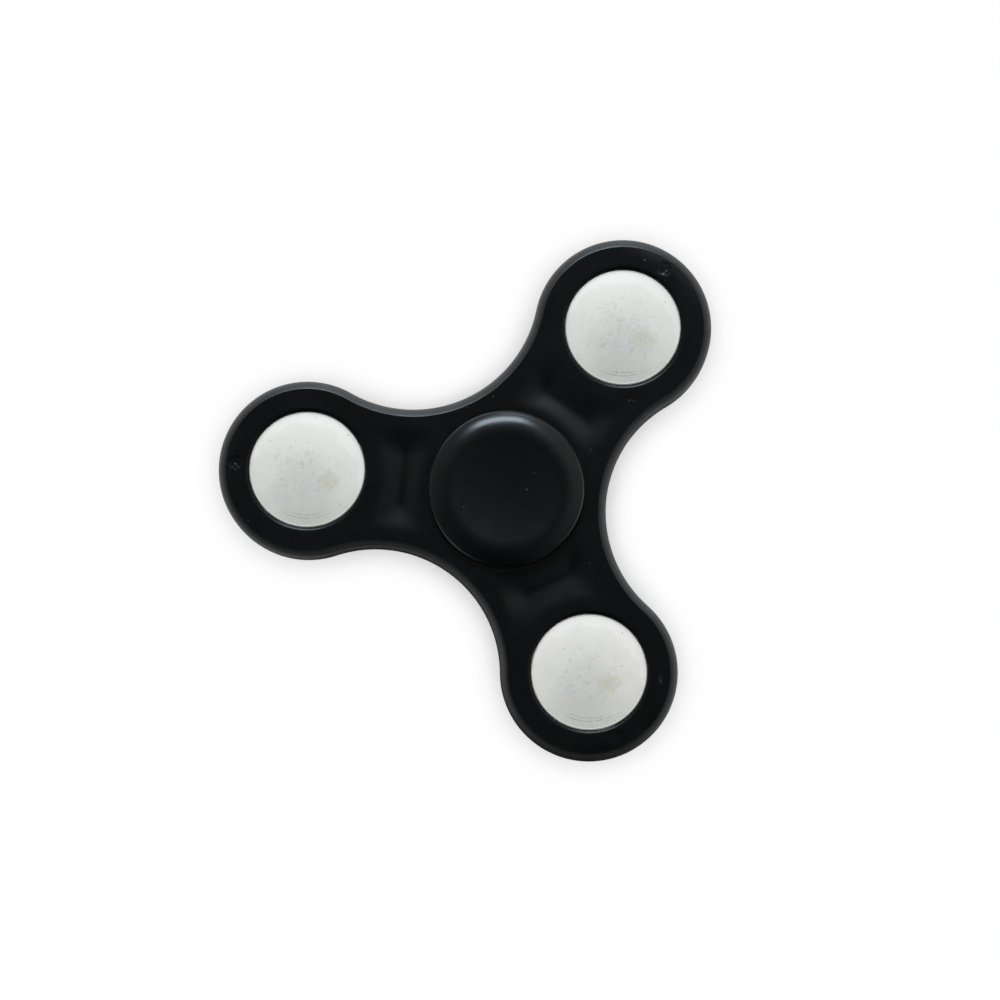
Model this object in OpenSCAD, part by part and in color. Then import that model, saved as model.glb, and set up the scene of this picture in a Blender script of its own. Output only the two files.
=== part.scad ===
// Three-lobed fidget spinner: a moulded body turns on a shielded 608 ball bearing, held by a finger pad on
// each side, with a steel weight pressed into each lobe. Millimetres, +Z up along the spin axis, origin at
// the centre of the bearing, first lobe towards +Y.

/* [Body] */
// Spin axis to the centre of a lobe
lobe_distance = 28.8; // [27.5:0.1:32]
// Outer radius of a lobe
lobe_r = 12.8; // [12.4:0.1:14]
// Spin axis to the nearest point of the curved flank between two lobes
waist_r = 14.5; // [14.2:0.1:15.5]
// Thickness of the body
body_t = 8; // [7.6:0.1:9]
// Rounding of the outer edges
edge_r = 1.4; // [0.8:0.1:1.5]
// Rounding of the mouths of the bores
mouth_r = 0.6; // [0.3:0.05:0.7]

/* [Scoops in the arms] */
// Radius of the raised face round the bearing, where a scoop starts
hub_face_r = 11.9; // [11.6:0.1:12.4]
// Radius of the raised face round a weight, where a scoop ends
lobe_face_r = 10; // [9.4:0.1:10.6]
// Depth of a scoop below the face
scoop_depth = 0.45; // [0.3:0.05:0.8]
// Width of a scoop across the arm
scoop_w = 14; // [11:0.1:15]

/* [Finger pads] */
// Outer radius of a pad
pad_r = 11.2; // [11:0.1:11.5]
// Thickness of a pad at its rim
pad_t = 2.1; // [1.9:0.1:3]
// Gap between a pad and the body's face
pad_gap = 0.4; // [0.3:0.1:0.8]
// Rounding of a pad's outer edge
pad_edge_r = 0.8; // [0.6:0.1:1]
// Radius of the gentle crown between the hollow and the outer edge
crown_r = 6; // [5.5:0.1:7]
// Radius of the hollow for the finger
dish_r = 8.4; // [8.2:0.1:8.8]
// Depth of the hollow for the finger
dish_depth = 0.45; // [0.3:0.05:0.7]

/* [Weights] */
// Radius of a weight
weight_r = 8.4; // [7.5:0.05:8.5]
// How far the middle of a weight's faces lies below the body's faces
weight_recess = 0.1; // [0:0.05:0.8]
// How much further its rim lies below them, as each face is slightly domed
weight_dome = 0.4; // [0.2:0.05:0.5]
// Chamfer on a weight's edges
weight_chamfer = 0.25; // [0.2:0.05:0.5]

/* [Bearing] */
// Radial clearance of a ball in its grooves
ball_play = 0.055; // [0.03:0.005:0.08]
// Thickness of the cage's sheet
cage_t = 0.35; // [0.3:0.05:0.4]
// Thickness of a shield's sheet
shield_t = 0.33; // [0.3:0.01:0.35]

/* [Hidden] */
$fn = 96;
eps = 0.01;                                  // small overshoot of a cutting shape
fit = 0.02;                                  // radial gap drawn at a pressed joint
lobes = 3;
// Standard 608 bearing
bearing_r = 11;
bearing_bore_r = 4;
bearing_w = 7;
race_chamfer = 0.3;
pitch_r = 7.5;                               // circle of the ball centres
ball_r = 3.969 / 2;
balls = 7;
inner_shoulder_r = 6.05;
outer_shoulder_r = 8.95;
groove_r = ball_r + ball_play;
// Seat of a shield in the outer race
seat_r = 9.45;
seat_z = 2.72;
crimp_r = 9.8;
crimp_z = 2.85;
shield_bore_r = 6.3;
shield_step = 0.25;                          // the shield's inner part lies this much deeper than its rim
bend_r = 8.65;                               // where the shield steps down, on its inner side
bend_shift = 0.1;                            // the same bend on its outer side
// Cage of two riveted halves
cage_inner_r = 6.55;
cage_outer_r = 8.45;
pocket_r = ball_r + 0.08;
cage_half_h = pocket_r + cage_t + eps;
// Rivets between the balls
rivet_r = 0.35;
rivet_head_r = 0.6;
rivet_head_t = 0.25;
// Pads
pad_z = body_t / 2 + pad_gap;                // underside of the upper pad
pad_shoulder_r = 5.4;                        // stands on the inner race's face
stem_r = bearing_bore_r - fit;
stem_gap = 0.25;                             // half the gap between the two stems
core_r = 2.2;                                // hole up the middle of a stem
core_roof = 1;                               // the hole ends this far below the hollow
pad_under_chamfer = 0.25;
crown_lift = 0.004;                          // the crown rises through the flat land round the hollow
edge_lift = 0.005;                           // the arcs of the crown and the edge cross instead of touch
edge_x = pad_r - pad_edge_r;
edge_z = sqrt(pow(crown_r - pad_edge_r, 2) - pow(edge_x - dish_r, 2)) + edge_lift;
crown_end_x = edge_x + pad_edge_r * (edge_x - dish_r) / (crown_r - pad_edge_r);
dish_sphere_r = (dish_r * dish_r + dish_depth * dish_depth) / (2 * dish_depth);
// Body outline: each lobe's circle is tangent to the two flank arcs beside it
flank_d = (lobe_distance * lobe_distance - pow(waist_r - lobe_r, 2))
        / (lobe_distance - 2 * (waist_r - lobe_r));
flank_r = flank_d - waist_r;
lobe_angles = [for (i = [0 : lobes - 1]) 90 + i * 360 / lobes];
flank_angles = [for (a = lobe_angles) a + 180 / lobes];
// Half the angle of a flank arc, seen from its own centre
flank_half_a = asin(lobe_distance * sin(180 / lobes) / (flank_r + lobe_r));
// The arc stops just short of the point where it would touch the lobe's circle
flank_stop = 0.8;
strip_half_a = flank_half_a - flank_stop / flank_r * 180 / PI;
edge_arc_r = 1.015 * edge_r;                 // a little more, so the rounding meets the face at a faint edge
strip_w = edge_r + 1.1;                      // width of the strip that carries a flank's rounded edges
web_inset = strip_w - 0.2;
web_steps = 3;
hub_ring_r = bearing_r + 1.5;
hub_hole_r = bearing_r + 0.8;                // holes of the web, covered by the rings
lobe_hole_r = weight_r + 0.95;
// Scoops
scoop_cyl_r = (scoop_w * scoop_w / 4 + scoop_depth * scoop_depth) / (2 * scoop_depth);
scoop_run = 2.4;                             // run of the slope at a scoop's end

function polar(r, a) = [r * cos(a), r * sin(a)];
function ball_angle(i) = 90 + i * 360 / balls;
function rivet_angle(i) = ball_angle(i + 0.5);

module at_polar(r, a) { translate(concat(polar(r, a), 0)) children(); }

module on_both_faces() {
    children();
    mirror([0, 0, 1]) children();
}

// ---- moulded body ----

// Half section of a ring at a bore, the bore's mouths rounded
module mouth_section(r_in, r_out) {
    difference() {
        translate([r_in, -body_t / 2]) square([r_out - r_in, body_t]);
        for (side = [0, 1]) mirror([0, side]) translate([r_in + mouth_r, body_t / 2 - mouth_r]) difference() {
            translate([-2 * mouth_r, 0]) square(2 * mouth_r);
            circle(mouth_r);
        }
    }
}

// Half section of a rounded outer edge at x = 0, with material towards +X
module edge_section(w) {
    translate([edge_r, -body_t / 2]) square([w - edge_r, body_t]);
    translate([0, edge_r - body_t / 2]) square([w, body_t - 2 * edge_r]);
    intersection() {
        for (side = [-1, 1]) translate([edge_arc_r, side * (body_t / 2 - edge_r)]) circle(edge_arc_r);
        translate([0, -body_t / 2]) square([w, body_t]);
    }
}

module lobe_ring() {
    rotate_extrude() {
        mouth_section(weight_r + fit, lobe_r - edge_r);
        translate([lobe_r, 0]) mirror([1, 0]) edge_section(2 * edge_r);
    }
}

module hub_ring() { rotate_extrude() mouth_section(bearing_r + fit, hub_ring_r); }

// Curved flank between two lobes, seen from the centre of its arc
module flank() {
    rotate([0, 0, 180 - strip_half_a]) rotate_extrude(angle = 2 * strip_half_a)
        translate([flank_r, 0]) edge_section(strip_w);
}

// Edge of the web just inside the flank at angle a
function web_edge(a) = [for (k = [-web_steps : web_steps])
    polar(flank_d, a) + polar(flank_r + web_inset, a + 180 - k * flank_half_a / web_steps)];

// Plate that joins the rings to the flanks
module web() {
    linear_extrude(body_t, center = true) difference() {
        polygon([for (a = flank_angles) each web_edge(a)]);
        circle(hub_hole_r);
        for (a = lobe_angles) translate(polar(lobe_distance, a)) circle(lobe_hole_r);
    }
}

module body_blank() {
    union() {
        web();
        hub_ring();
        for (a = flank_angles) rotate([0, 0, a]) translate([flank_d, 0, 0]) flank();
    }
    for (a = lobe_angles) rotate([0, 0, a]) translate([lobe_distance, 0, 0]) lobe_ring();
}

// Frustum round a raised face: radius r at the face, wider below it
module face_boss(r) {
    translate([0, 0, body_t / 2 - 2 * scoop_depth])
        cylinder(r1 = r + 2 * scoop_run, r2 = r - scoop_run, h = 3 * scoop_depth);
}

// Scoop in the upper face of the arm that points along +X
module scoop_cutter() {
    difference() {
        translate([hub_face_r - scoop_run, 0, body_t / 2 - scoop_depth + scoop_cyl_r]) rotate([0, 90, 0])
            cylinder(r = scoop_cyl_r, h = lobe_distance - lobe_face_r - hub_face_r + 2 * scoop_run);
        face_boss(hub_face_r);
        translate([lobe_distance, 0, 0]) face_boss(lobe_face_r);
        translate([0, -lobe_distance, body_t / 2 + scoop_depth - eps])
            cube([lobe_distance, 2 * lobe_distance, 3 * scoop_cyl_r]);
    }
}

module spinner_body() {
    color([0.07, 0.075, 0.08]) difference() {
        body_blank();
        for (a = lobe_angles) rotate([0, 0, a]) on_both_faces() scoop_cutter();
    }
}

// ---- weights ----

module weight(i) {
    half = body_t / 2 - weight_recess;
    side = half - weight_dome - weight_chamfer;
    sphere_r = (weight_r * weight_r + weight_dome * weight_dome) / (2 * weight_dome);
    at_polar(lobe_distance, lobe_angles[i - 1]) color([0.80, 0.81, 0.79]) rotate_extrude() intersection() {
        polygon([
            [0, -body_t], [weight_r + side - body_t, -body_t], [weight_r, -side],
            [weight_r, side], [weight_r + side - body_t, body_t], [0, body_t]]);
        translate([0, half - sphere_r]) circle(sphere_r, $fn = 1440);
        translate([0, sphere_r - half]) circle(sphere_r, $fn = 1440);
    }
}

// ---- finger pads ----

// Half section of a pad's disc, from its underside up to the crown and the rounded edge
module pad_disc_section(top) {
    crown_z = top + crown_lift - crown_r;
    intersection() {
        union() {
            translate([0, pad_z]) square([crown_end_x, pad_t]);
            translate([0, pad_z]) square([pad_r, crown_z + edge_z - pad_z]);
            translate([edge_x, crown_z + edge_z]) circle(pad_edge_r);
        }
        union() {
            translate([0, pad_z]) square([dish_r, pad_t]);
            translate([dish_r, crown_z]) circle(crown_r, $fn = 240);
        }
        translate([0, pad_z]) square([pad_r + eps, pad_t]);
    }
}

module pad_section() {
    top = pad_z + pad_t;
    difference() {
        union() {
            translate([0, stem_gap]) square([stem_r, pad_z]);
            translate([0, bearing_w / 2]) square([pad_shoulder_r, pad_z - bearing_w / 2 + eps]);
            pad_disc_section(top);
        }
        translate([0, top - dish_depth + dish_sphere_r]) circle(dish_sphere_r, $fn = 720);
        translate([-eps, 0]) square([core_r + eps, top - dish_depth - core_roof]);
        translate([pad_r, pad_z]) rotate(45) square(pad_under_chamfer * sqrt(2), center = true);
    }
}

module pad() { color([0.06, 0.065, 0.07]) rotate_extrude() intersection() {
    pad_section();
    square([2 * pad_r, 2 * body_t]);
} }

// ---- bearing ----

module chamfered_ring_section(r_in, r_out, w, c) {
    h = w / 2;
    polygon([
        [r_in + c, -h], [r_out - c, -h], [r_out, c - h], [r_out, h - c],
        [r_out - c, h], [r_in + c, h], [r_in, h - c], [r_in, c - h]]);
}

module inner_race() {
    color("silver") rotate_extrude() difference() {
        chamfered_ring_section(bearing_bore_r, inner_shoulder_r, bearing_w, race_chamfer);
        translate([pitch_r, 0]) circle(groove_r);
    }
}

module outer_race() {
    color("silver") rotate_extrude() difference() {
        chamfered_ring_section(outer_shoulder_r - race_chamfer, bearing_r, bearing_w, race_chamfer);
        translate([0, -bearing_w]) square([outer_shoulder_r, 2 * bearing_w]);
        translate([pitch_r, 0]) circle(groove_r);
        for (side = [0, 1]) mirror([0, side]) {
            translate([outer_shoulder_r - eps, seat_z]) square([seat_r - outer_shoulder_r + eps, bearing_w]);
            translate([outer_shoulder_r - eps, crimp_z])
                square([crimp_r - outer_shoulder_r + eps, shield_t + 2 * fit]);
        }
    }
}

// Pressed sheet ring, its rim crimped into the outer race
module shield() {
    low = crimp_z + fit;
    high = low + shield_t;
    color([0.72, 0.73, 0.74]) rotate_extrude() polygon([
        [shield_bore_r, low - shield_step], [bend_r, low - shield_step], [bend_r + shield_step, low],
        [crimp_r - fit, low], [crimp_r - fit, high], [bend_r + bend_shift, high],
        [bend_r + bend_shift - shield_step, high - shield_step], [shield_bore_r, high - shield_step]]);
}

module cage_ring_section(h) { translate([cage_inner_r, 0]) square([cage_outer_r - cage_inner_r, h]); }

module cage_half() {
    color([0.78, 0.74, 0.62]) difference() {
        intersection() {
            rotate_extrude() cage_ring_section(cage_half_h);
            union() {
                cylinder(r = cage_outer_r + 1, h = cage_t);
                for (i = [1 : balls]) at_polar(pitch_r, ball_angle(i)) sphere(pocket_r + cage_t);
            }
        }
        for (i = [1 : balls]) {
            at_polar(pitch_r, ball_angle(i)) sphere(pocket_r);
            at_polar(pitch_r, rivet_angle(i)) cylinder(r = rivet_r + fit, h = 3 * cage_t, center = true);
        }
    }
}

module cage_rivets() {
    color([0.75, 0.75, 0.76]) for (i = [1 : balls]) at_polar(pitch_r, rivet_angle(i)) {
        cylinder(r = rivet_r, h = 2 * cage_t, center = true);
        on_both_faces() translate([0, 0, cage_t]) cylinder(r = rivet_head_r, h = rivet_head_t);
    }
}

module ball(i) { color([0.86, 0.87, 0.88]) at_polar(pitch_r, ball_angle(i)) sphere(ball_r); }

// ---- nodes ----

pad();  // finger_pad_top
mirror([0, 0, 1]) pad();  // finger_pad_bottom
inner_race();
spinner_body();
outer_race();
shield();  // shield_top
mirror([0, 0, 1]) shield();  // shield_bottom
for (i = [1 : lobes]) weight(i);
cage_half();  // cage_half_top
mirror([0, 0, 1]) cage_half();  // cage_half_bottom
cage_rivets();
for (i = [1 : balls]) ball(i);
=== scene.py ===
import math

import bpy
import bmesh
import numpy as np
from mathutils import Matrix, Vector
from mathutils.geometry import delaunay_2d_cdt


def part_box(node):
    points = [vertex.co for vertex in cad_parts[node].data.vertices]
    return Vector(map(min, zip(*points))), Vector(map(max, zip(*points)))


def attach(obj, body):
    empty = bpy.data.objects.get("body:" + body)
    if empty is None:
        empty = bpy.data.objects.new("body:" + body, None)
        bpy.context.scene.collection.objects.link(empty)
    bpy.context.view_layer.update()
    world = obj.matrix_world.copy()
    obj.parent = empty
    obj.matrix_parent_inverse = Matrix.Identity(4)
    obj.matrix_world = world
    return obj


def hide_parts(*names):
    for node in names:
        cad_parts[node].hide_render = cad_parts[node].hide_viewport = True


# Fidget spinner. The moulded body, the weights and the finger pads are modelled here; the bearing keeps the
# CAD's own meshes.
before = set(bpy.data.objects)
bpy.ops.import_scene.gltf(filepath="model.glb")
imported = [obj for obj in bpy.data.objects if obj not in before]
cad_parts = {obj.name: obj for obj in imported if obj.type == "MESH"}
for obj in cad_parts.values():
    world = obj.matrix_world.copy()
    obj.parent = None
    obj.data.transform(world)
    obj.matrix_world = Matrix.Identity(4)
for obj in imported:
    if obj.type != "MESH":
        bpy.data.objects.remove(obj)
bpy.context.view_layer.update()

MM = 0.001
LOBES = 3


def mm(v):
    return tuple(c / MM for c in v)


# ---- sizes, in millimetres, read from the frame ----
BODY_LO, BODY_HI = (mm(c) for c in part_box("spinner_body"))
PAD_HI = mm(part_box("finger_pad_top")[1])
WEIGHT_LO, WEIGHT_HI = (mm(c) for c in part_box("weight_1"))
FLOOR_Z = mm(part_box("finger_pad_bottom")[0])[2]

TOP = BODY_HI[2]                                   # face of the body
WEIGHT_R = (WEIGHT_HI[0] - WEIGHT_LO[0]) / 2
WEIGHT_TOP = WEIGHT_HI[2]
LOBE_D = (WEIGHT_HI[1] + WEIGHT_LO[1]) / 2         # spin axis to the centre of a lobe
LOBE_R = BODY_HI[1] - LOBE_D
PAD_R = PAD_HI[0]
PAD_TOP = PAD_HI[2]
BEARING_R = mm(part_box("outer_race")[1])[0]
RACE_Z = mm(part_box("inner_race")[1])[2]

# ---- sizes the frame's boxes don't give ----
BORE_R = 4.0                                       # bore of the bearing
WAIST_R = 14.5                                     # spin axis to the middle of a flank
EDGE_R = 1.4                                       # height of the rounding between face and wall
EDGE_ARC = 1.015 * EDGE_R                          # radius of the rounding, a little more than its height
CREASE = math.acos(EDGE_R / EDGE_ARC)              # tilt at which the rounding meets the face
DRAFT = 0.045                                      # a wall is this much further in at its edges
MOUTH_R, MOUTH_TURN = 0.50, 42                     # width of the rounding at a bore's mouth, and its turn in degrees
FIT = 0.02                                         # gap between a bore and what is pressed into it

# ---- the lobes' and flanks' arcs ----
FLANK_D = (LOBE_D**2 - (WAIST_R - LOBE_R)**2) / (LOBE_D - 2 * (WAIST_R - LOBE_R))
FLANK_R = FLANK_D - WAIST_R
LOBE_ANGLES = [math.radians(90 + 120 * i) for i in range(LOBES)]
FLANK_ANGLES = [a + math.pi / LOBES for a in LOBE_ANGLES]
FLANK_HALF = math.asin(LOBE_D * math.sin(math.pi / LOBES) / (FLANK_R + LOBE_R))
LOBE_HALF = math.pi / LOBES + FLANK_HALF           # half the angle of a lobe's arc

# ---- the picture's directions on the floor ----
IMAGE_UP = math.radians(125.7)                     # direction of the picture's top
NORTH = Vector((math.cos(IMAGE_UP), math.sin(IMAGE_UP), 0))
EAST = Vector((math.sin(IMAGE_UP), -math.cos(IMAGE_UP), 0))


def polar(r, a):
    return np.array([r * math.cos(a), r * math.sin(a)])


def to_picture(dx, dy):
    """Parts of an offset that point to the picture's right and top."""
    return dx * EAST.x + dy * EAST.y, dx * NORTH.x + dy * NORTH.y


LOBE_CENTRES = [polar(LOBE_D, a) for a in LOBE_ANGLES]
FLANK_CENTRES = [polar(FLANK_D, a) for a in FLANK_ANGLES]


def smoothstep(lo, hi, x):
    t = np.clip((x - lo) / (hi - lo), 0, 1)
    return t * t * (3 - 2 * t)


def slope(lo, hi, x):
    """0 to 1 along an even slope with rounded ends."""
    t = np.clip((x - lo) / (hi - lo), 0, 1)
    e = 0.3                                        # part of the slope that each rounding takes
    top = 1 - (1 - t)**2 / (2 * e * (1 - e))
    return np.where(t < e, t * t / (2 * e * (1 - e)), np.where(t > 1 - e, top, (t - e / 2) / (1 - e)))


# ---- mesh helpers ----
def new_object(name, verts, faces, groups, sharp_between=(), second=()):
    """A smooth mesh from millimetres. Edges between the pairs of face groups listed are sharp.
    Faces of the groups in `second` take the object's second material."""
    mesh = bpy.data.meshes.new(name)
    mesh.from_pydata([tuple(c * MM for c in v) for v in verts], [], faces)
    bm = bmesh.new()
    bm.from_mesh(mesh)
    layer = bm.faces.layers.int.new("group")
    bm.faces.ensure_lookup_table()
    for i, f in enumerate(bm.faces):
        f[layer] = groups[i]
        f.smooth = True
    bmesh.ops.remove_doubles(bm, verts=bm.verts, dist=2e-6)
    bmesh.ops.dissolve_degenerate(bm, edges=bm.edges, dist=1e-7)
    bmesh.ops.recalc_face_normals(bm, faces=bm.faces)
    pairs = {frozenset(p) for p in sharp_between}
    for e in bm.edges:
        if len(e.link_faces) == 2:
            e.smooth = frozenset(f[layer] for f in e.link_faces) not in pairs
    for f in bm.faces:
        f.material_index = int(f[layer] in second)
    bm.faces.layers.int.remove(layer)
    bm.to_mesh(mesh)
    bm.free()
    o = bpy.data.objects.new(name, mesh)
    bpy.context.scene.collection.objects.link(o)
    return o


def lathe(name, profile, centre=(0, 0), segments=192, sharp=()):
    """Turns a closed (r, z) profile about a vertical axis. Points at r = 0 close on the axis.
    The edge rings at the profile's points in `sharp` are sharp."""
    n = len(profile)
    angles = np.linspace(0, 2 * math.pi, segments, endpoint=False)
    verts, index = [], []
    for r, z in profile:
        if r < 1e-9:
            index.append([len(verts)] * segments)
            verts.append((centre[0], centre[1], z))
        else:
            index.append(list(range(len(verts), len(verts) + segments)))
            verts += [(centre[0] + r * math.cos(a), centre[1] + r * math.sin(a), z) for a in angles]
    faces, groups = [], []
    for k in range(n):
        if profile[k][0] < 1e-9 and profile[(k + 1) % n][0] < 1e-9:
            continue
        group = sum(1 for b in sharp if b <= k)
        a, b = index[k], index[(k + 1) % n]
        for s in range(segments):
            t = (s + 1) % segments
            quad = [a[s], a[t], b[t], b[s]]
            faces.append([v for i, v in enumerate(quad) if v != quad[i - 1]])
            groups.append(group)
    m = len(sharp) + 1
    return new_object(name, verts, faces, groups, [(i, j) for i in range(m) for j in range(m) if i != j])


def arc(cx, cz, r, a0, a1, n):
    """Points of an arc in (r, z), angles in degrees from +r towards +z."""
    return [(cx + r * math.cos(math.radians(a)), cz + r * math.sin(math.radians(a)))
            for a in np.linspace(a0, a1, n + 1)]


# ---- moulded body ----
LOBE_POINTS, FLANK_POINTS = 120, 54                # points along one arc of the outline
HUB_SEGS, BORE_SEGS = 192, 144                     # points round the bearing's bore and a lobe's bore
FACE_STEP = 0.46                                   # spacing of the face's points
SCOOP_DEPTH = 0.44
# a scoop's slopes run between these distances from the spin axis, the lobe's centre and the arm's middle line
SCOOP_HUB, SCOOP_LOBE, SCOOP_SIDE = (11.8, 15.5), (10.1, 14.8), (3.2, 7.7)
# round marks left by the moulding gates, one on each lobe, with a torn stub towards the picture's bottom
GATE_R, GATE_OUT = 1.15, 10.32                     # radius, and distance out from the lobe's centre
GATE_SOFT, STUB_BELOW = 0.42, 0.62                 # width of the mark's soft edge; its centre to the stub
GATE_DEPTH = [0.05, 0.05, 0.02]
GATE_REACH, DING_REACH = 1.75, 1.1                 # the face is finely meshed within these distances
GATES = [c + polar(GATE_OUT, a) for c, a in zip(LOBE_CENTRES, LOBE_ANGLES)]
# a nick in the face of the lobe at the picture's bottom, with a raised lip
DING_RIGHT, DING_BELOW = 10.2, 1.1
DING_DEPTH, DING_LIP = 0.05, 0.03
DING = LOBE_CENTRES[2] + DING_RIGHT * np.array(EAST[:2]) - DING_BELOW * np.array(NORTH[:2])


def outline(inset):
    """The body's outline, moved inwards by inset: three lobe arcs and three flank arcs."""
    pts = []
    for i in range(LOBES):
        for k in range(LOBE_POINTS):
            a = LOBE_ANGLES[i] - LOBE_HALF + 2 * LOBE_HALF * k / LOBE_POINTS
            pts.append(LOBE_CENTRES[i] + polar(LOBE_R - inset, a))
        for k in range(FLANK_POINTS):
            a = FLANK_ANGLES[i] + math.pi + FLANK_HALF - 2 * FLANK_HALF * k / FLANK_POINTS
            pts.append(FLANK_CENTRES[i] + polar(FLANK_R + inset, a))
    return np.array(pts)


def gate_dip(x, y):
    """Depth of the gate marks, each with a torn stub in it, and of the nick."""
    d = 0
    for g, a, deep in zip(GATES, LOBE_ANGLES, GATE_DEPTH):
        dx, dy = x - g[0], y - g[1]
        r = np.hypot(dx, dy)
        w = np.arctan2(dy, dx)
        edge = GATE_R * (1 + 0.04 * np.sin(3 * w + a) + 0.03 * np.sin(7 * w + 2 * a))
        d = d + deep * (1 - smoothstep(edge - GATE_SOFT, edge, r))
        u, v = to_picture(dx + STUB_BELOW * NORTH.x, dy + STUB_BELOW * NORTH.y)
        torn = np.hypot(u / 0.62, (v + 0.25 * np.cos(7 * u + a)) / 0.26)
        d = d - deep * (1 - smoothstep(0.5, 1.0, torn)) * (1 + 0.5 * np.sin(11 * u + 2 * a))
    u, v = to_picture(x - DING[0], y - DING[1])
    nick = np.hypot((u + 0.12 * v) / (0.16 + 0.10 * np.clip(0.6 + v, 0, 1.3)), v / 0.62)
    lip = smoothstep(0.7, 1.0, nick) * (1 - smoothstep(1.0, 1.5, nick))
    return d + DING_DEPTH * (1 - smoothstep(0.3, 1.0, nick)) - DING_LIP * lip


def dip(x, y, gates):
    """How far the face lies below TOP at (x, y)."""
    d = np.zeros_like(x)
    hub = np.hypot(x, y)
    for c, a in zip(LOBE_CENTRES, LOBE_ANGLES):
        u = x * math.cos(a) + y * math.sin(a)
        v = np.abs(y * math.cos(a) - x * math.sin(a))
        lobe = np.hypot(x - c[0], y - c[1])
        scoop = SCOOP_DEPTH * slope(*SCOOP_HUB, hub) * slope(*SCOOP_LOBE, lobe) * (1 - slope(*SCOOP_SIDE, v))
        d = d + np.where(u > 0, scoop, 0)
    if gates:
        d = d + gate_dip(x, y)
    return d


def in_polygon(px, py, poly):
    inside = np.zeros(len(px), bool)
    x0, y0 = poly[:, 0], poly[:, 1]
    x1, y1 = np.roll(x0, -1), np.roll(y0, -1)
    for a, b, c, d in zip(x0, y0, x1, y1):
        if b != d:
            inside ^= ((b > py) != (d > py)) & (px < (c - a) * (py - b) / (d - b) + a)
    return inside


def circle_points(c, r, n):
    return np.array([c + polar(r, 2 * math.pi * k / n) for k in range(n)])


def fine_points(centre, reach):
    """Close rings of points about a small mark."""
    pts = []
    for n, r in enumerate(np.arange(0.06, reach, 0.10)):
        count = max(8, int(r * 55))
        pts += [centre + polar(r, 2 * math.pi * (k + (n % 2) / 2) / count) for k in range(count)]
    return pts


def face_mesh(gates):
    """Vertices and triangles of the body's face between the edges, with z = -dip."""
    rim = outline(EDGE_ARC * (1 - math.sin(CREASE)))
    holes = [(np.zeros(2), BEARING_R + FIT + MOUTH_R, HUB_SEGS)]
    holes += [(c, WEIGHT_R + FIT + MOUTH_R, BORE_SEGS) for c in LOBE_CENTRES]
    loops = [rim] + [circle_points(*h) for h in holes]
    # staggered rows of points, with close rings at the small marks
    xs = np.arange(BODY_LO[0], BODY_HI[0], FACE_STEP)
    ys = np.arange(BODY_LO[1], BODY_HI[1], FACE_STEP * math.sqrt(3) / 2)
    grid = np.array([(x + (j % 2) * FACE_STEP / 2, y) for j, y in enumerate(ys) for x in xs])
    if gates:
        for spot, reach in [(g, GATE_REACH) for g in GATES] + [(DING, DING_REACH)]:
            grid = grid[np.hypot(*(grid - spot).T) > reach]
            grid = np.vstack([grid, fine_points(spot, reach)])
    # only inside the rim, outside the holes, and clear of both
    border = np.vstack(loops)
    keep = in_polygon(grid[:, 0], grid[:, 1], rim)
    for c, r, _ in holes:
        keep &= np.hypot(*(grid - c).T) > r
    grid = grid[keep]
    near = np.full(len(grid), 1e9)
    for p in border:
        near = np.minimum(near, np.hypot(*(grid - p).T))
    margin = np.full(len(grid), 0.5 * FACE_STEP)
    for spot in GATES + [DING]:
        margin[np.hypot(*(grid - spot).T) < GATE_REACH + 0.05] = 0.12
    pts = np.vstack([border, grid[near > margin]])
    edges, start = [], 0
    for loop in loops:
        n = len(loop)
        edges += [(start + k, start + (k + 1) % n) for k in range(n)]
        start += n
    out = delaunay_2d_cdt([Vector(p) for p in pts], edges, [], 0, 1e-6)
    v = np.array([tuple(p) for p in out[0]])
    tris = np.array([f for f in out[2]])
    mid = v[tris].mean(1)
    keep = in_polygon(mid[:, 0], mid[:, 1], rim)
    for c, r, _ in holes:
        keep &= np.hypot(*(mid - c).T) > r * math.cos(math.pi / BORE_SEGS) - 1e-3
    return v, -dip(v[:, 0], v[:, 1], gates), tris[keep]


FACE, ROUNDING, UPPER_WALL, LOWER_WALL, BORE_MOUTH, BORE_WALL, HUB_MOUTH, HUB_WALL = range(8)


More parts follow.
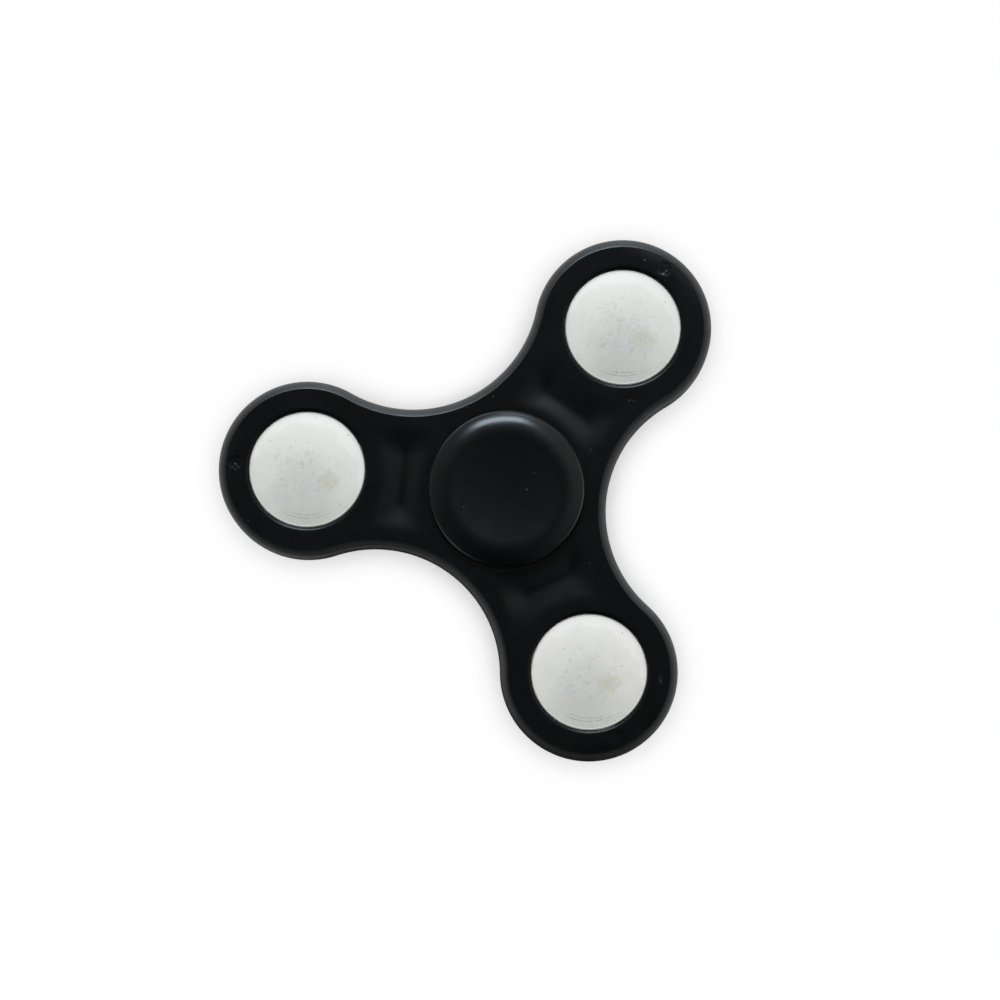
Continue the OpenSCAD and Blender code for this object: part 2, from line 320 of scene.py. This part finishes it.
def build_body():
    """Two faces, their roundings, the outer wall and the four bores, in the groups above."""
    verts, faces, groups = [], [], []

    def add(v, f, g):
        base = len(verts)
        verts.extend(v)
        faces.extend([[i + base for i in face] for face in f])
        groups.extend([g] * len(f))

    def loft(loops, g):
        n = len(loops[0])
        v = [p for loop in loops for p in loop]
        f = [[k * n + s, k * n + (s + 1) % n, (k + 1) * n + (s + 1) % n, (k + 1) * n + s]
             for k in range(len(loops) - 1) for s in range(n)]
        add(v, f, g)

    def rim(inset, z):
        return [(x, y, z) for x, y in outline(inset)]

    for side in (1, -1):
        v, z, tris = face_mesh(side > 0)
        add([(x, y, side * (TOP + dz)) for (x, y), dz in zip(v, z)], [list(t) for t in tris], FACE)
        arc_loops = []
        for t in np.linspace(CREASE, math.pi / 2, 17):
            inset = EDGE_ARC * (1 - math.sin(t))
            blend = (math.sin(t) - math.sin(CREASE)) / (1 - math.sin(CREASE))
            z_arc = TOP - EDGE_R + EDGE_ARC * math.cos(t)
            arc_loops.append(rim(inset + DRAFT * blend, side * z_arc))
        loft(arc_loops, ROUNDING)
        wall_z = side * (TOP - EDGE_R)
        loft([rim(DRAFT, wall_z), rim(DRAFT / 2, wall_z / 2), rim(0, 0)], UPPER_WALL if side > 0 else LOWER_WALL)
    bores = [(np.zeros(2), BEARING_R + FIT, HUB_SEGS, HUB_MOUTH, HUB_WALL)]
    bores += [(c, WEIGHT_R + FIT, BORE_SEGS, BORE_MOUTH, BORE_WALL) for c in LOBE_CENTRES]
    for c, r, n, mouth_group, wall_group in bores:
        mouth = MOUTH_R / math.sin(math.radians(MOUTH_TURN))
        prof = arc(r + MOUTH_R, TOP - mouth, mouth, 90, 90 + MOUTH_TURN, 9)
        wall = len(prof) - 1
        prof = prof + [(r, TOP / 2), (r, 0), (r, -TOP / 2)] + [(a, -b) for a, b in reversed(prof)]
        loops = [[(x, y, z) for x, y in circle_points(c, rr, n)] for rr, z in prof]
        loft(loops[:wall + 1], mouth_group)
        loft(loops[wall:-wall], wall_group)
        loft(loops[-wall - 1:], mouth_group)
    return new_object("body_shell", verts, faces, groups,
                      [(FACE, ROUNDING), (UPPER_WALL, LOWER_WALL), (BORE_MOUTH, BORE_WALL), (HUB_MOUTH, HUB_WALL)],
                      second=(BORE_MOUTH, BORE_WALL))


body = build_body()
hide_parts("spinner_body")
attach(body, "rotor")

# ---- finger pads ----
CROWN_X, CROWN_R, RIM_R = 8.3, 6.0, 0.8            # crown's top and radius, and radius of the rim
DISH_R, DISH_DEPTH = 8.4, 0.45                     # finger hollow
TURN = (7.3, 9.1)                                  # the hollow turns over into the crown between these radii
PAD_UNDER, PAD_CHAMFER = 4.4, 0.25                 # underside of the upper pad, and its corner
PAD_INNER_R, SHOULDER_R = 8.5, 5.4                 # ring of points under the pad; shoulder on the inner race
STEM_END, STEM_CHAMFER = 0.25, 0.25                # the stems end this far from the middle
SOCKET_R, SOCKET_TOP = 2.2, 4.95                   # blind hole up the stem


def pad_profile():
    """Upper pad's section: finger hollow, soft crown, rounded rim, underside, shoulder and stem."""
    sphere = (DISH_R**2 + DISH_DEPTH**2) / (2 * DISH_DEPTH)
    r0, r1 = TURN
    s0, s1 = r0 / sphere, -(r1 - CROWN_X) / CROWN_R
    d0, d1 = (r1 - r0) / sphere, -(r1 - r0) / CROWN_R
    hollow = [(r, r * r / (2 * sphere)) for r in np.linspace(0, r0, 30)]
    z, steps = hollow[-1][1], 40
    for k in range(steps):
        t = (k + 0.5) / steps
        rise = (s0 * (2 * t**3 - 3 * t**2 + 1) + d0 * (t**3 - 2 * t**2 + t)
                + s1 * (3 * t**2 - 2 * t**3) + d1 * (t**3 - t**2))
        z += rise * (r1 - r0) / steps
        if k % 2:
            hollow.append((r0 + (r1 - r0) * (k + 1) / steps, z))
    tilt = math.asin((r1 - CROWN_X) / CROWN_R)
    tip = math.asin((PAD_R - RIM_R - CROWN_X) / (CROWN_R - RIM_R))
    crown = [(CROWN_X + CROWN_R * math.sin(a), z - CROWN_R * (math.cos(tilt) - math.cos(a)))
             for a in np.linspace(tilt, tip, 20)[1:]]
    cz = crown[-1][1] - RIM_R * math.cos(tip)
    rim = [(PAD_R - RIM_R + RIM_R * math.sin(a), cz + RIM_R * math.cos(a))
           for a in np.linspace(tip, math.pi / 2, 24)[1:]]
    pts = hollow + crown + rim
    lift = PAD_TOP - 0.003 - max(z for _, z in pts)
    pts = [(r, z + lift) for r, z in pts]
    side = len(pts) - 1
    stem = BORE_R - FIT
    pts += [(PAD_R - 0.01, PAD_UNDER + PAD_CHAMFER), (PAD_R - 0.01 - PAD_CHAMFER, PAD_UNDER),
            (PAD_INNER_R, PAD_UNDER), (SHOULDER_R, PAD_UNDER), (SHOULDER_R, RACE_Z), (stem, RACE_Z),
            (stem, STEM_END + STEM_CHAMFER), (stem - STEM_CHAMFER, STEM_END),
            (SOCKET_R, STEM_END), (SOCKET_R, SOCKET_TOP), (0, SOCKET_TOP)]
    # the underside's corners are sharp, but not the ring of points within it or the rounded top
    return pts, [k for k in range(side + 1, len(pts) - 1) if k != side + 3]


pads = []
for side, name in ((1, "top"), (-1, "bottom")):
    pts, sharp = pad_profile()
    pad = lathe(f"pad_{name}", [(r, side * z) for r, z in pts], segments=256, sharp=sharp)
    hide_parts(f"finger_pad_{name}")
    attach(pad, "grip")
    pads.append(pad)


# ---- weights ----
def weight_profile():
    """Slightly domed steel disc with rounded edges and faint turning grooves near its rim."""
    mid, dome, edge = WEIGHT_TOP - 0.012, 0.4, 0.3
    groove_depth, groove_step = 0.006, 0.028       # the step is a share of the radius
    sphere = (WEIGHT_R**2 + dome**2) / (2 * dome)
    face = WEIGHT_R - edge
    top = []
    for r in np.linspace(0, face, 110):
        q = r / WEIGHT_R
        groove = groove_depth * math.sin(2 * math.pi * (q - 0.80) / groove_step)
        grooved = smoothstep(0.78, 0.81, q) * (1 - smoothstep(0.86, 0.89, q))
        z = mid - (sphere - math.sqrt(sphere**2 - r * r))
        top.append((r, z + groove * grooved))
    tilt = math.degrees(math.asin(face / sphere))
    cx, cz = face - edge * math.sin(math.radians(tilt)), top[-1][1] - edge * math.cos(math.radians(tilt))
    top += [(min(r, WEIGHT_R), z) for r, z in arc(cx, cz, edge * 1.03, 88 - tilt, 0, 8)]
    return top + [(r, -z) for r, z in reversed(top)]


weights = []
for i in range(LOBES):
    disc = lathe(f"weight_disc_{i + 1}", weight_profile(), centre=LOBE_CENTRES[i], segments=160)
    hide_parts(f"weight_{i + 1}")
    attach(disc, "rotor")
    weights.append(disc)


# ---- materials ----
class Tree:
    """Short calls for building a node tree. A value is a number, a colour, a vector or another node's output."""

    def __init__(self, tree):
        self.tree = tree

    def node(self, kind, **props):
        n = self.tree.nodes.new(kind)
        for k, v in props.items():
            setattr(n, k, v)
        return n

    def put(self, socket, v):
        if isinstance(v, bpy.types.NodeSocket):
            self.tree.links.new(v, socket)
        elif socket.type == "RGBA":
            socket.default_value = (*v, 1)
        else:
            socket.default_value = v

    def math(self, op, a, b=None):
        n = self.node("ShaderNodeMath", operation=op)
        self.put(n.inputs[0], a)
        if b is not None:
            self.put(n.inputs[1], b)
        return n.outputs[0]

    def product(self, *factors):
        result = factors[0]
        for v in factors[1:]:
            result = self.math("MULTIPLY", result, v)
        return result

    def vector(self, op, a, b=None):
        n = self.node("ShaderNodeVectorMath", operation=op)
        self.put(n.inputs[0], a)
        if b is not None:
            self.put(n.inputs[1], b)
        return n.outputs["Value" if op in ("LENGTH", "DOT_PRODUCT") else "Vector"]

    def ramp(self, fac, stops):
        """Colours, or greys given as one number, at positions from 0 to 1."""
        n = self.node("ShaderNodeValToRGB")
        e = n.color_ramp.elements
        while len(e) < len(stops):
            e.new(0.5)
        for el, (pos, col) in zip(e, stops):
            el.position = pos
            el.color = (*col, 1) if isinstance(col, tuple) else (col, col, col, 1)
        self.put(n.inputs["Fac"], fac)
        return n.outputs["Color"]

    def map_range(self, fac, a, b, c, d):
        n = self.node("ShaderNodeMapRange")
        for k, v in zip(("From Min", "From Max", "To Min", "To Max"), (a, b, c, d)):
            n.inputs[k].default_value = v
        self.put(n.inputs["Value"], fac)
        return n.outputs["Result"]

    def mix(self, fac, a, b):
        n = self.node("ShaderNodeMix", data_type="RGBA")
        inputs = {s.identifier: s for s in n.inputs}
        for key, v in (("Factor_Float", fac), ("A_Color", a), ("B_Color", b)):
            self.put(inputs[key], v)
        return next(o for o in n.outputs if o.identifier == "Result_Color")


class Paint(Tree):
    """A material in the object's coordinates."""

    def __init__(self, name):
        self.mat = bpy.data.materials.new(name)
        self.mat.use_nodes = True
        super().__init__(self.mat.node_tree)
        self.bsdf = self.tree.nodes["Principled BSDF"]
        self.coords = self.node("ShaderNodeTexCoord").outputs["Object"]

    def scaled(self, scale, offset):
        m = self.node("ShaderNodeMapping")
        m.inputs["Scale"].default_value = scale
        m.inputs["Location"].default_value = offset
        self.put(m.inputs["Vector"], self.coords)
        return m.outputs["Vector"]

    def about(self, vector, place, scale, turn=0.0):
        """The vector measured from a place in units of scale, along turned axes."""
        m = self.node("ShaderNodeMapping", vector_type="TEXTURE")
        m.inputs["Location"].default_value = place
        m.inputs["Rotation"].default_value = (0, 0, turn)
        m.inputs["Scale"].default_value = scale
        self.put(m.inputs["Vector"], vector)
        return m.outputs["Vector"]

    def noise(self, scale, detail=4, rough=0.55, vector=None, distortion=0.0):
        n = self.node("ShaderNodeTexNoise")
        for k, v in (("Scale", scale), ("Detail", detail), ("Roughness", rough), ("Distortion", distortion)):
            n.inputs[k].default_value = v
        self.put(n.inputs["Vector"], vector or self.coords)
        return n.outputs["Fac"]

    def voronoi(self, scale, vector):
        n = self.node("ShaderNodeTexVoronoi")
        n.inputs["Scale"].default_value = scale
        self.put(n.inputs["Vector"], vector)
        return n.outputs

    def specks(self, scale, vector, size, shuffle, share):
        """Round specks in this share of the cells of a random pattern."""
        cells = self.voronoi(scale, vector)
        drawn = self.math("FRACT", self.math("MULTIPLY", cells["Color"], shuffle))
        return self.product(self.math("LESS_THAN", cells["Distance"], size),
                            self.math("GREATER_THAN", drawn, 1 - share))

    def bump(self, height, strength, distance):
        n = self.node("ShaderNodeBump")
        n.inputs["Strength"].default_value = strength
        n.inputs["Distance"].default_value = distance
        self.put(n.inputs["Height"], height)
        return n.outputs["Normal"]

    def set(self, **sockets):
        for k, v in sockets.items():
            self.put(self.bsdf.inputs[k.replace("_", " ")], v)


def black_plastic(name, low, high, rough, grain, seed, worn_and_sheen=None, spots=(), shine=0.5):
    """Satin black moulded plastic: faint cloudy tone, fine grain, hairline scratches, dust, and rounded edges painted
    paler as wear and as a painted sheen.
    `spots` are larger specks of dust, given as right, up and radius in mm from the spin axis."""
    n = Paint(name)
    seeded = n.scaled((1, 1, 1), seed)
    base = n.mix(n.map_range(n.noise(90, 4, 0.6, seeded), 0.35, 0.65, 0, 1), low, high)
    if worn_and_sheen:
        # the rounded edges are painted paler: partly wear, partly a painted sheen for the light they catch
        tilt = n.node("ShaderNodeSeparateXYZ")
        n.put(tilt.inputs[0], n.node("ShaderNodeTexCoord").outputs["Normal"])
        z = n.math("ABSOLUTE", tilt.outputs["Z"])
        rubbed_and_sheen = n.product(n.map_range(z, 1.0, 0.83, 0, 1), n.map_range(z, 0.0, 0.35, 0.6, 1),
                           n.map_range(n.noise(700, 4, 0.6), 0.3, 0.7, 0.8, 1.1))
        base = n.mix(rubbed_and_sheen, base, worn_and_sheen)
    dust = n.specks(420, seeded, 0.055, 7.31, 0.14)
    fine_dust = n.specks(1300, seeded, 0.07, 5.77, 0.07)
    for e, u, size in spots:
        place = EAST * e + NORTH * u
        away = n.vector("LENGTH", n.about(n.coords, (place.x * MM, place.y * MM, 0), (size * MM, size * MM, 1)))
        ragged = n.math("ADD", away, n.map_range(n.noise(4000, 2), 0, 1, -0.5, 0.5))
        dust = n.math("MAXIMUM", dust, n.map_range(ragged, 0.75, 1.1, 1, 0))
    # hairline scratches: thin bands of stretched noise in two directions
    along_y = n.noise(60, 2, 0.5, n.scaled((60, 2.2, 60), seed), 0.3)
    along_x = n.noise(60, 2, 0.5, n.scaled((3.1, 52, 52), seed), 0.3)
    hair = n.math("MAXIMUM", n.map_range(along_y, 0.735, 0.765, 0, 1), n.map_range(along_x, 0.745, 0.775, 0, 1))
    colour = n.mix(n.math("MULTIPLY", dust, 0.4), base, (0.045, 0.048, 0.047))
    colour = n.mix(n.math("MULTIPLY", fine_dust, 0.4), colour, (0.035, 0.037, 0.036))
    roughness = n.map_range(n.noise(260, 5, 0.65), 0.3, 0.7, rough - 0.03, rough + 0.03)
    roughness = n.math("ADD", roughness, n.math("MULTIPLY", hair, 0.12))
    if worn_and_sheen:
        roughness = n.math("ADD", roughness, n.map_range(z, 0.99, 0.955, 0, 0.26))
    roughness = n.math("ADD", roughness, n.math("MULTIPLY", dust, 0.3))
    height = n.math("ADD", n.math("MULTIPLY", n.noise(5200, 3, 0.6), grain), n.math("MULTIPLY", hair, -0.25))
    height = n.math("ADD", height, n.math("MULTIPLY", dust, 0.8))
    n.set(Base_Color=colour, Roughness=roughness, IOR=1.5, Specular_IOR_Level=shine,
          Normal=n.bump(height, 0.35, 0.000005))
    return n.mat


def plated_steel(name, centre, seed, painted_shade):
    """Dull plated steel: mottling, a stain, scuffs, pits and turning marks near the rim, under painted shade and
    reflection: a greyer middle, a paler rim, a darker bottom, and more dimming on a disc that gets more light.
    """
    n = Paint(name)
    local = n.scaled((1, 1, 1), (-centre[0] * MM, -centre[1] * MM, 0))

    def flat(e, u, stretch=1.0, turn=0.0):
        """Coordinates in radii about a spot e and u of the radius to the picture's right and top of the middle.
        x points to the picture's top, or is turned from it, and may be stretched."""
        spot = (EAST * e + NORTH * u) * WEIGHT_R * MM
        return n.about(local, (spot[0], spot[1], 0), (WEIGHT_R * MM * stretch, WEIGHT_R * MM, 1), IMAGE_UP + turn)

    def near(e, u, stretch, inner, outer):
        """1 within the inner distance of a spot, fading to 0 at the outer one."""
        return n.map_range(n.vector("LENGTH", flat(e, u, stretch)), inner, outer, 1, 0)

    def centred(value, amount):
        return n.math("MULTIPLY", n.math("SUBTRACT", value, 0.5), amount)

    radius = n.vector("LENGTH", flat(0, 0))
    height_up = n.node("ShaderNodeSeparateXYZ")
    n.put(height_up.inputs[0], flat(0.02, 0.0))
    height_up = height_up.outputs["X"]
    cloud = n.noise(3.2, 5, 0.6, flat(seed[0], seed[1]))
    fine = n.noise(34, 4, 0.7, flat(seed[1], seed[0]))
    # painted shade and reflection: greyer below the middle, paler towards the rim, over a cloudy tone
    shade_and_tone = n.math("ADD", n.vector("LENGTH", flat(-0.06, -0.34, 1.15)), centred(cloud, 0.35))
    colour = n.ramp(shade_and_tone, [(0.0, (0.605, 0.592, 0.548)), (0.35, (0.628, 0.613, 0.563)),
                           (0.62, (0.695, 0.676, 0.619)), (0.95, (0.735, 0.712, 0.655)), (1.3, (0.79, 0.76, 0.71))])
    # blue-grey mottling to the lower left
    blotch = n.product(near(-0.25, -0.42, 0.9, 0.15, 0.45),
                       n.map_range(n.noise(7, 4, 0.6, flat(seed[1], 3)), 0.42, 0.62, 0, 1), 0.5)
    colour = n.mix(blotch, colour, (0.52, 0.565, 0.565))
    # yellowish stain with pale crystals to the lower right
    ragged = n.math("ADD", n.vector("LENGTH", flat(0.36, -0.20, 0.85)),
                    centred(n.noise(9, 4, 0.6, flat(seed[0], 5)), 0.40))
    colour = n.mix(n.math("MULTIPLY", n.map_range(ragged, 0.10, 0.24, 1, 0), 0.55), colour, (0.52, 0.51, 0.39))
    grains = n.map_range(n.voronoi(19, flat(0.3, -0.2))["Distance"], 0.22, 0.38, 1, 0)
    colour = n.mix(n.product(n.map_range(ragged, 0.06, 0.16, 1, 0), grains, 0.55), colour, (0.78, 0.77, 0.62))
    # turning marks: dark arcs near the rim at the picture's bottom
    rings = n.math("SINE", n.math("MULTIPLY", radius, 2 * math.pi / 0.055))
    zone = n.product(n.map_range(radius, 0.70, 0.76, 0, 1), n.map_range(radius, 0.86, 0.90, 1, 0))
    arcs = n.product(n.map_range(height_up, -0.68, -0.80, 0, 1), zone, n.map_range(rings, 0.2, 0.95, 0, 1),
                     n.map_range(n.noise(9, 3, 0.6, flat(1, 1)), 0.36, 0.52, 0, 1))
    colour = n.mix(n.math("MULTIPLY", arcs, 0.75), colour, (0.24, 0.28, 0.24))
    # painted shade: darker towards the picture's bottom, away from the light
    colour = n.mix(n.map_range(height_up, -0.30, -1.0, 0, 0.46), colour, (0.49, 0.50, 0.45))
    # soft grey scuffs round the middle, pits here and there, fine darker grain
    scuffs = n.noise(9, 3, 0.62, flat(seed[0], seed[1], 0.6, 0.75), 0.8)
    scuffs = n.product(n.map_range(scuffs, 0.53, 0.68, 0, 1), near(-0.05, -0.05, 0.9, 0.30, 0.85))
    colour = n.mix(n.math("MULTIPLY", scuffs, 0.50), colour, (0.38, 0.41, 0.38))
    pits = n.specks(7.5, flat(seed[1], seed[0]), 0.085, 9.7, 0.20)
    colour = n.mix(n.math("MULTIPLY", pits, 0.7), colour, (0.20, 0.21, 0.20))
    colour = n.mix(n.math("MULTIPLY", n.map_range(fine, 0.60, 0.8, 0, 1), 0.12), colour, (0.45, 0.46, 0.43))
    # painted shade: each disc is dimmed by how much more light reaches it than the others
    colour = n.mix(painted_shade, colour, (0.05, 0.05, 0.048))
    height = n.math("ADD", n.math("MULTIPLY", fine, 0.5), n.math("MULTIPLY", arcs, -1.0))
    height = n.math("SUBTRACT", height, n.math("ADD", pits, scuffs))
    n.set(Base_Color=colour, Metallic=0.28, Roughness=n.map_range(cloud, 0.3, 0.7, 0.42, 0.52),
          Normal=n.bump(height, 0.4, 0.000006))
    return n.mat


def bright_steel(name, base, rough, seed):
    """Ground or pressed steel with a fine turned grain."""
    n = Paint(name)
    cloud = n.noise(500, 4, 0.6, n.scaled((1, 1, 1), seed))
    grain = n.noise(900, 2, 0.5, n.scaled((1, 1, 14), seed))
    colour = n.mix(n.map_range(cloud, 0.35, 0.65, 0, 1), tuple(c * 0.88 for c in base), base)
    n.set(Base_Color=colour, Metallic=1.0, Roughness=n.map_range(grain, 0.3, 0.7, rough - 0.05, rough + 0.07),
          Normal=n.bump(grain, 0.2, 0.000008))
    return n.mat


def dress(o, *mats):
    """Gives an object its materials. Clearing a list also resets the faces' material indices, so an empty
    list is left alone."""
    if o.data.materials:
        o.data.materials.clear()
    for m in mats:
        o.data.materials.append(m)


BODY_LOW, BODY_HIGH, BODY_SEED = (0.0023, 0.0029, 0.0029), (0.0031, 0.0039, 0.0042), (3, 1, 7)
# the body's rounded edges take a paler colour, as wear and as a painted sheen
dress(body,
      black_plastic("body_plastic", BODY_LOW, BODY_HIGH, 0.18, 1.0, BODY_SEED, worn_and_sheen=(0.0262, 0.0270, 0.0255),
                    spots=[(19.9, 33.1, 0.16), (17.7, 12.8, 0.14), (18.3, 12.7, 0.10), (12.1, 5.7, 0.11),
                           (-15.2, 22.7, 0.10)]),
      black_plastic("bore_plastic", BODY_LOW, BODY_HIGH, 0.24, 1.0, BODY_SEED, shine=0.32))
pad_plastic = black_plastic("pad_plastic", (0.0031, 0.0037, 0.0041), (0.0039, 0.0046, 0.0051), 0.205, 0.8, (5, 9, 2),
                            spots=[(2.9, -0.2, 0.13), (4.0, 2.2, 0.10), (-6.1, -2.7, 0.12), (6.5, 5.4, 0.09)])
for pad in pads:
    dress(pad, pad_plastic)
# painted shade for each disc, larger where more light falls on it
DISC_PAINTED_SHADE = (0.085, 0.045, 0.0)
for i, disc in enumerate(weights):
    dress(disc, plated_steel(f"weight_steel_{i + 1}", LOBE_CENTRES[i], (2.0 + i, 5.0 - i), DISC_PAINTED_SHADE[i]))

# the CAD's own meshes inside the bearing, by the first of these words in their names
CAD_LOOKS = {
    "rivets": bright_steel("rivet_steel", (0.60, 0.60, 0.60), 0.30, (1, 2, 8)),
    "ball": bright_steel("ball_steel", (0.68, 0.68, 0.69), 0.14, (9, 2, 3)),
    "race": bright_steel("race_steel", (0.62, 0.62, 0.61), 0.24, (1, 2, 3)),
    "shield": bright_steel("shield_steel", (0.60, 0.60, 0.61), 0.34, (4, 2, 3)),
    "cage": bright_steel("cage_steel", (0.58, 0.56, 0.50), 0.38, (1, 6, 3)),
}
for name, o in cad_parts.items():
    look = next((mat for word, mat in CAD_LOOKS.items() if word in name), None)
    if look:
        dress(o, look)

# ---- floor ----
# painted shadow: brightness of the floor by how open it is to the sky, which paints the soft halo of shadow round the
# spinner
HALO = [(0.0, 0.05), (0.40, 0.45), (0.60, 0.72), (0.654, 0.768), (0.682, 0.815), (0.704, 0.851), (0.733, 0.884),
        (0.756, 0.908), (0.772, 0.930), (0.803, 0.946), (0.843, 0.969), (0.893, 0.985), (0.961, 1.0)]
# painted shadow in the colour that the object sees in its reflections: dark beside its lower sides, where it shades
# the floor
BOUNCE = [(0.45, (0.04, 0.039, 0.038)), (0.62, (0.26, 0.255, 0.25)), (0.78, (0.78, 0.77, 0.76))]
BOUNCE_BELOW = (0.07, 0.069, 0.066)                # painted shadow towards the picture's bottom, away from the light
bpy.ops.mesh.primitive_plane_add(size=6, location=(0, 0, FLOOR_Z * MM))
floor = bpy.context.object
floor.name = "floor"
f = Paint("floor_white")
here = f.node("ShaderNodeNewGeometry").outputs


def openness(lean, reach, samples):
    """How open the floor is to the sky within reach, looking up and leaning."""
    ao = f.node("ShaderNodeAmbientOcclusion", samples=samples)
    ao.inputs["Distance"].default_value = reach
    f.put(ao.inputs["Normal"], f.vector("ADD", here["Normal"], lean))
    return ao.outputs["AO"]


seen = f.ramp(openness(NORTH * -0.11, 0.006, 8), HALO)
bounce = f.ramp(openness(NORTH * 1.2, 0.02, 6), BOUNCE)
below = f.vector("DOT_PRODUCT", f.vector("NORMALIZE", here["Position"]), -NORTH)
bounce = f.mix(f.map_range(below, 0.70, 0.94, 0, 1), bounce, BOUNCE_BELOW)
is_camera = f.node("ShaderNodeLightPath").outputs["Is Camera Ray"]
BLACK = (0, 0, 0)
f.set(Base_Color=f.mix(is_camera, bounce, BLACK), Roughness=1.0, Specular_IOR_Level=0.0,
      Emission_Color=f.mix(is_camera, BLACK, seen), Emission_Strength=1.0)
dress(floor, f.mat)

# ---- camera ----
AZIMUTH, ELEVATION = math.radians(35.7), math.radians(86.4)
FIELD = 143.6                                      # width seen at the body's top face, in mm
LENS, SENSOR = 150.0, 36.0
HUB_RIGHT, HUB_UP = 0.92, 1.56                     # the spin axis lies this far from the frame's centre
back = Vector((math.sin(AZIMUTH) * math.cos(ELEVATION), -math.cos(AZIMUTH) * math.cos(ELEVATION), math.sin(ELEVATION)))
right = Vector((math.cos(AZIMUTH), math.sin(AZIMUTH), 0))
up = back.cross(right)
target = Vector((0, 0, TOP)) - right * HUB_RIGHT - up * HUB_UP
cam_data = bpy.data.cameras.new("camera")
cam_data.lens = LENS
cam_data.sensor_width = SENSOR
cam_data.clip_start, cam_data.clip_end = 0.01, 20
camera = bpy.data.objects.new("camera", cam_data)
bpy.context.scene.collection.objects.link(camera)
camera.location = (target + back * (FIELD * LENS / SENSOR)) * MM
camera.rotation_euler = Matrix((right, up, back)).transposed().to_euler()
bpy.context.scene.camera = camera

# ---- lights ----
COOL = (0.84, 1.0, 1.16)


def area(name, place, width, height, radiance):
    """A one-sided rectangular light aimed at the body's face, its strength given as the radiance of its face."""
    data = bpy.data.lights.new(name, "AREA")
    data.shape = "RECTANGLE"
    data.size, data.size_y = width * MM, height * MM
    data.energy = radiance * width * height * MM**2 * math.pi
    data.color = COOL
    o = bpy.data.objects.new(name, data)
    o.location = place * MM
    o.rotation_euler = (place - Vector((0, 0, TOP))).to_track_quat("Z", "Y").to_euler()
    o.visible_camera = False
    bpy.context.scene.collection.objects.link(o)


area("key", NORTH * 266 - EAST * 22 + Vector((0, 0, 356)), 185, 92, 11.5)
area("softbox", NORTH * 354 + EAST * 36 + Vector((0, 0, 186)), 150, 180, 1.8)

# ---- surroundings ----
# white to the camera, soft light from the picture's top on dull surfaces, and in reflections a dim studio
world = bpy.data.worlds.new("studio")
bpy.context.scene.world = world
world.use_nodes = True
world.node_tree.nodes.clear()
w = Tree(world.node_tree)
direction = w.node("ShaderNodeTexCoord").outputs["Generated"]


def half(value):
    """-1..1 to 0..1, so that a colour ramp can take it."""
    return w.math("ADD", w.math("MULTIPLY", value, 0.5), 0.5)


rise = w.vector("DOT_PRODUCT", direction, (0, 0, 1))   # sine of the height above the horizon
north_part = w.vector("DOT_PRODUCT", direction, NORTH)
level_part = w.math("SQRT", w.math("SUBTRACT", 1.0001, w.math("MULTIPLY", rise, rise)))
to_right = half(w.math("DIVIDE", w.vector("DOT_PRODUCT", direction, EAST), level_part))
to_top = half(w.math("DIVIDE", north_part, level_part))
right_side = w.ramp(rise, [(0.0, 0.30), (0.208, 0.34), (0.407, 0.40), (0.707, 0.42), (0.866, 0.40),
                           (0.94, 0.27), (0.978, 0.12), (0.9945, 0.045), (1.0, 0.04)])
left_side = w.ramp(rise, [(0.0, 0.22), (0.174, 0.24), (0.438, 0.28), (0.643, 0.24), (0.81, 0.14),
                          (0.92, 0.10), (0.978, 0.05), (1.0, 0.04)])
turn = w.ramp(to_right, [(0.35, 0.0), (0.65, 1.0)])
sides = w.math("ADD", w.math("MULTIPLY", right_side, turn),
               w.math("MULTIPLY", left_side, w.math("SUBTRACT", 1.0, turn)))
around = w.ramp(to_top, [(0.0, 0.0), (0.03, 0.08), (0.115, 0.35), (0.25, 0.7), (0.415, 0.95), (0.5, 1.0)])
top_haze = w.ramp(half(north_part), [(0.40, 0.0), (0.46, 0.03), (0.53, 0.04), (0.57, 0.06), (0.61, 0.10),
                                     (0.68, 0.12), (0.78, 0.0)])
top_low = w.math("MULTIPLY", w.ramp(to_top, [(0.75, 0.0), (0.92, 1.0)]),
                 w.ramp(rise, [(0.0, 0.35), (0.6, 0.35), (0.75, 0.0)]))
reflected = w.math("ADD", w.math("MULTIPLY", sides, around), w.math("ADD", top_haze, top_low))
from_top = w.math("ADD", north_part, 1.0)
diffuse = w.product(from_top, w.math("MINIMUM", from_top, 1.0), 1.45)


def background(strength):
    n = w.node("ShaderNodeBackground")
    w.put(n.inputs["Strength"], strength)
    return n.outputs[0]


def choose(ray, yes, no):
    """One background for this kind of ray, another for the rest."""
    n = w.node("ShaderNodeMixShader")
    for socket, v in zip(n.inputs, (rays[ray], no, yes)):
        w.put(socket, v)
    return n.outputs[0]


rays = w.node("ShaderNodeLightPath").outputs
others = choose("Is Diffuse Ray", background(diffuse), background(reflected))
w.put(w.node("ShaderNodeOutputWorld").inputs["Surface"], choose("Is Camera Ray", background(1.0), others))

scene = bpy.context.scene
scene.view_settings.view_transform = "Standard"
scene.view_settings.look = "None"
